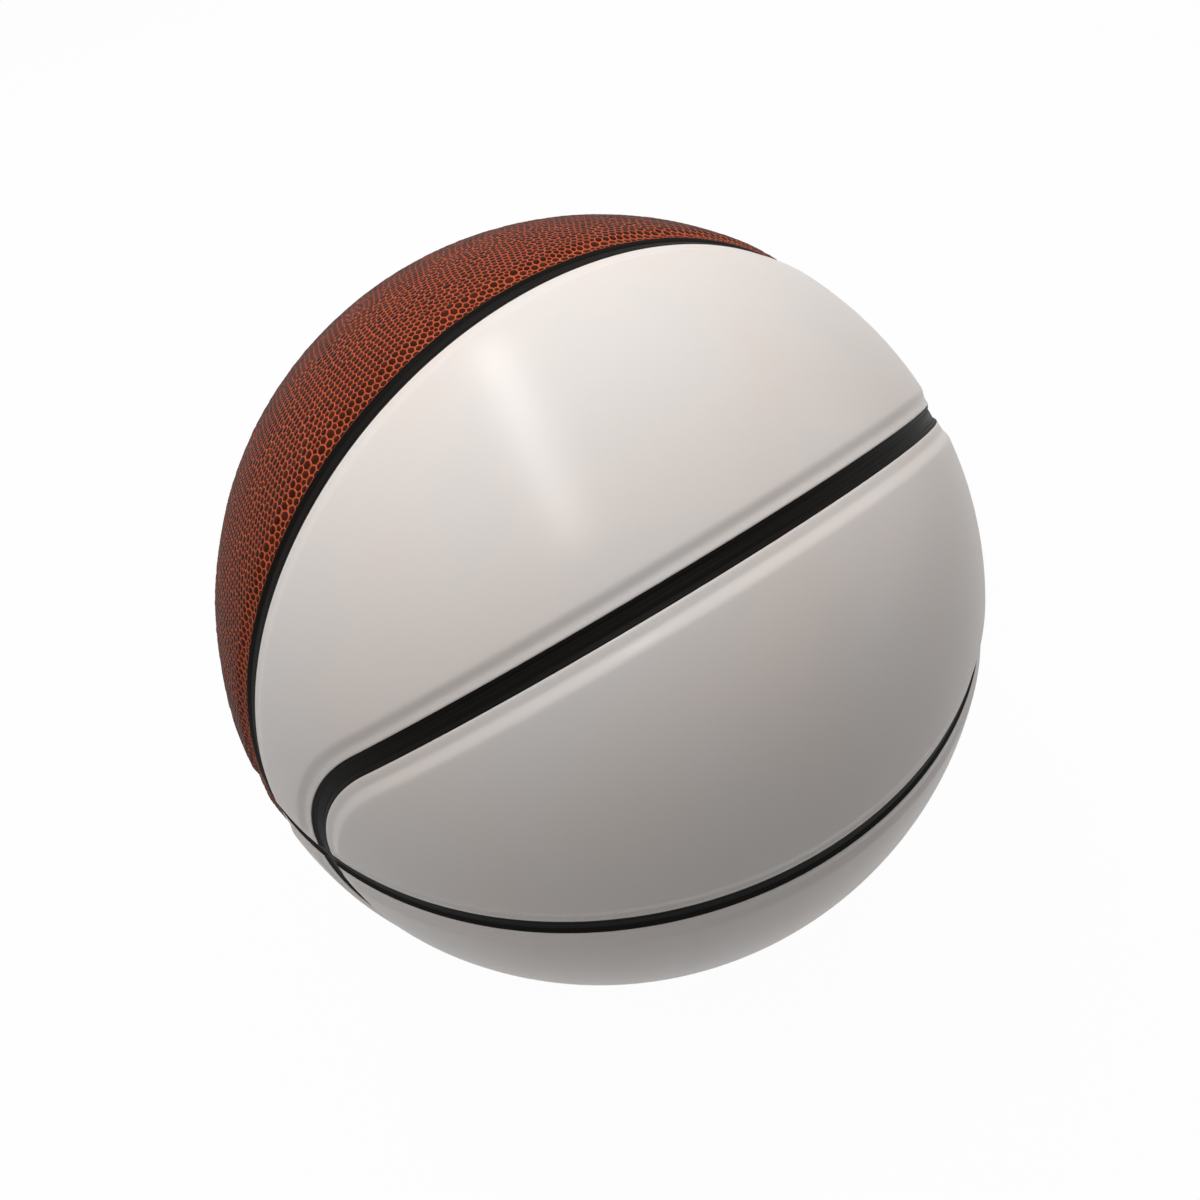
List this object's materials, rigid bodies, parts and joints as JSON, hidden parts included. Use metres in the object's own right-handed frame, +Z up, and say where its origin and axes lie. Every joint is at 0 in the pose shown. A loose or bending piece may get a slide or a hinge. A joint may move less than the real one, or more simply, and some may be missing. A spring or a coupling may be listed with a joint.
{
  "type": "basketball",
  "caption": "Inflatable basketball, half smooth white panels and half pebbled brown ones, with black seam channels and a needle valve.",
  "frame": {"origin": "centre of the ball", "axes": "+X out through the middle of the white half, square to the meridian seam; +Y and -Y out through the two crossings of the meridian and equator seams; +Z up, square to the equator seam"},
  "size_m": [0.238, 0.2376, 0.238],
  "materials": {
    "white_cover": "smooth satin composite leather",
    "brown_cover": "pebbled composite leather, dark pebbles with orange valleys",
    "seam_rubber": "satin black rubber",
    "carcass_rubber": "matt moulded rubber",
    "nylon_thread": "wound nylon thread",
    "bladder_butyl": "matt butyl rubber",
    "valve_rubber": "black rubber",
    "plug_rubber": "soft black rubber"
  },
  "bodies": {
    "ball": {"white_band_panel_top": "white_cover", "white_band_panel_bottom": "white_cover", "white_side_panel_top": "white_cover", "white_side_panel_bottom": "white_cover", "brown_band_panel_top": "brown_cover", "brown_band_panel_bottom": "brown_cover", "brown_side_panel_top": "brown_cover", "brown_side_panel_bottom": "brown_cover", "meridian_strip": "seam_rubber", "white_equator_strip": "seam_rubber", "brown_equator_strip": "seam_rubber", "white_loop_strip_top": "seam_rubber", "white_loop_strip_bottom": "seam_rubber", "brown_loop_strip_top": "seam_rubber", "brown_loop_strip_bottom": "seam_rubber", "carcass": "carcass_rubber", "thread_winding": "nylon_thread", "bladder": "bladder_butyl", "valve_boot": "valve_rubber"},
    "valve_plug": {"valve_plug": "plug_rubber"}
  },
  "joints": [
    {"name": "plug_draw", "type": "slide", "parent": "ball", "child": "valve_plug", "axis": [-0.9239, 0, 0.3827], "range_m": [0, 0.018]}
  ]
}
